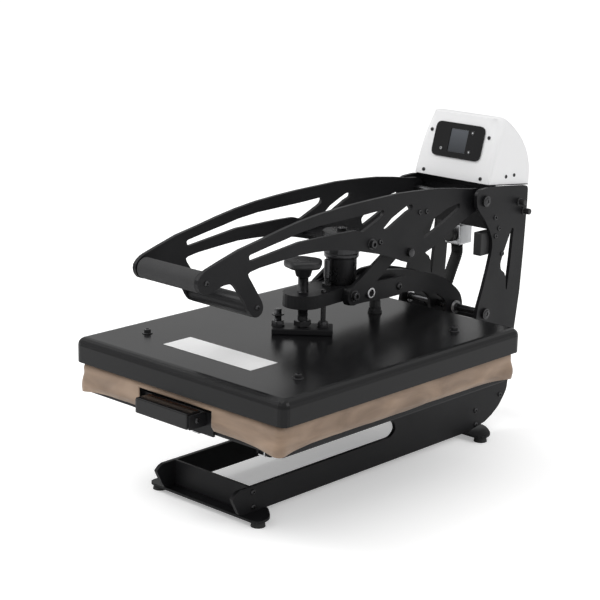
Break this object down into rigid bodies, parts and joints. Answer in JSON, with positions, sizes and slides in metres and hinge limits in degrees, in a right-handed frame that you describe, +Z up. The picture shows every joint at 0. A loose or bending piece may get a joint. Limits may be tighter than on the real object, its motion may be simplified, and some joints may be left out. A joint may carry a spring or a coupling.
{
  "type": "clamshell heat press",
  "caption": "Clamshell heat press with a slide-out lower platen, lever handle with toggle links, pressure screw and a raised control housing.",
  "frame": {"origin": "centre of the bounding box on the table the feet stand on", "axes": "+Z up, front with the handle towards -Y, the user's right is +X"},
  "size_m": [0.43, 0.7492, 0.5215],
  "materials": {
    "black_powder_coat": "satin powder coat",
    "gloss_black_paint": "gloss black",
    "black_plastic": "fine grained",
    "black_rubber": "matte",
    "white_paint": "satin white",
    "zinc_steel": "zinc plated",
    "black_oxide_steel": "black oxide",
    "cast_aluminium": "machined",
    "brown_coated_sheet": "coated fabric sheet",
    "orange_silicone": "silicone foam",
    "insulation_felt": "felt",
    "display_glass": "glossy",
    "circuit_board": "board"
  },
  "bodies": {
    "frame": {"arm_switch": "black_plastic", "connector_block": "cast_aluminium", "control_board": "circuit_board", "control_housing": "white_paint", "display_bezel": "gloss_black_paint", "display_screen": "display_glass", "foot_plate_front": "black_powder_coat", "foot_plate_rear": "black_powder_coat", "front_cross_plate": "black_powder_coat", "handle_hinge_shaft": "black_oxide_steel", "platen_arm_shaft": "black_oxide_steel", "power_inlet": "black_plastic", "rail_channel_left": "zinc_steel", "rail_channel_right": "zinc_steel", "rear_cross_plate": "black_powder_coat", "rubber_foot_1": "black_rubber", "rubber_foot_2": "black_rubber", "rubber_foot_3": "black_rubber", "rubber_foot_4": "black_rubber", "side_plate_left": "black_powder_coat", "side_plate_right": "black_powder_coat", "supply_hose": "black_plastic", "top_cross_panel": "black_powder_coat"},
    "handle": {"handle_arm_left": "black_powder_coat", "handle_arm_right": "black_powder_coat", "grip_sleeve": "black_rubber", "handle_cross_tube": "black_powder_coat", "strike_bar": "black_powder_coat", "strike_disc": "zinc_steel", "link_pin_left": "zinc_steel", "link_pin_right": "zinc_steel"},
    "toggle_links": {"toggle_link_left": "black_powder_coat", "toggle_link_right": "black_powder_coat"},
    "platen_arm": {"arm_head": "black_powder_coat", "arm_plate_left": "black_powder_coat", "arm_plate_right": "black_powder_coat", "link_cheek_left": "black_powder_coat", "link_cheek_right": "black_powder_coat", "holding_magnet": "black_oxide_steel", "stop_pillar": "zinc_steel", "platen_cable": "black_rubber"},
    "upper_platen": {"platen_cover": "gloss_black_paint", "heat_platen": "cast_aluminium", "heating_element": "black_oxide_steel", "insulation_felt": "insulation_felt", "pressure_bar": "black_powder_coat", "clamping_stud": "black_oxide_steel", "guide_rod": "zinc_steel", "cable_gland": "black_plastic"},
    "pressure_knob_group": {"pressure_screw": "black_oxide_steel", "pressure_knob": "black_plastic"},
    "drawer": {"drawer_carriage": "black_powder_coat", "lower_platen": "cast_aluminium", "silicone_pad": "orange_silicone", "wrap_sheet": "brown_coated_sheet", "drawer_handle": "gloss_black_paint", "handle_bracket": "black_powder_coat"},
    "up_button": {"button_up": "black_plastic"},
    "down_button": {"button_down": "black_plastic"},
    "set_button": {"button_set": "black_plastic"}
  },
  "joints": [
    {"name": "handle_hinge", "type": "hinge", "parent": "frame", "child": "handle", "pos_m": [0, 0.24955, 0.396], "axis": [-1, 0, 0], "range_deg": [0, 70]},
    {"name": "link_pivot", "type": "hinge", "parent": "handle", "child": "toggle_links", "pos_m": [0, 0.08255, 0.336], "axis": [-1, 0, 0], "range_deg": [-103.1, 0]},
    {"name": "platen_arm_hinge", "type": "hinge", "parent": "frame", "child": "platen_arm", "pos_m": [0, 0.26155, 0.208], "axis": [-1, 0, 0], "range_deg": [0, 37.7], "deforming": ["supply_hose"]},
    {"name": "platen_lift", "type": "slide", "parent": "platen_arm", "child": "upper_platen", "axis": [0, 0, 1], "range_m": [0, 0.006], "deforming": ["platen_cable"]},
    {"name": "pressure_knob_turn", "type": "hinge", "parent": "upper_platen", "child": "pressure_knob_group", "pos_m": [0, -0.08545, 0.2365], "axis": [0, 0, 1], "range_deg": [0, 1080]},
    {"name": "drawer_slide", "type": "slide", "parent": "frame", "child": "drawer", "axis": [0, -1, 0], "range_m": [0, 0.3]},
    {"name": "up_button_press", "type": "slide", "parent": "frame", "child": "up_button", "axis": [0, 0.961, -0.2766], "range_m": [0, 0.0005], "stiffness_N_per_m": 400},
    {"name": "down_button_press", "type": "slide", "parent": "frame", "child": "down_button", "axis": [0, 0.961, -0.2766], "range_m": [0, 0.0005], "stiffness_N_per_m": 400},
    {"name": "set_button_press", "type": "slide", "parent": "frame", "child": "set_button", "axis": [0, 0.961, -0.2766], "range_m": [0, 0.0005], "stiffness_N_per_m": 400}
  ],
  "couplings": [
    {"joint": "link_pivot", "follows": "handle_hinge", "ratio": -1.472},
    {"joint": "platen_arm_hinge", "follows": "handle_hinge", "ratio": 0.538},
    {"joint": "pressure_knob_turn", "follows": "platen_lift", "rad_per_m": 3141.6}
  ]
}
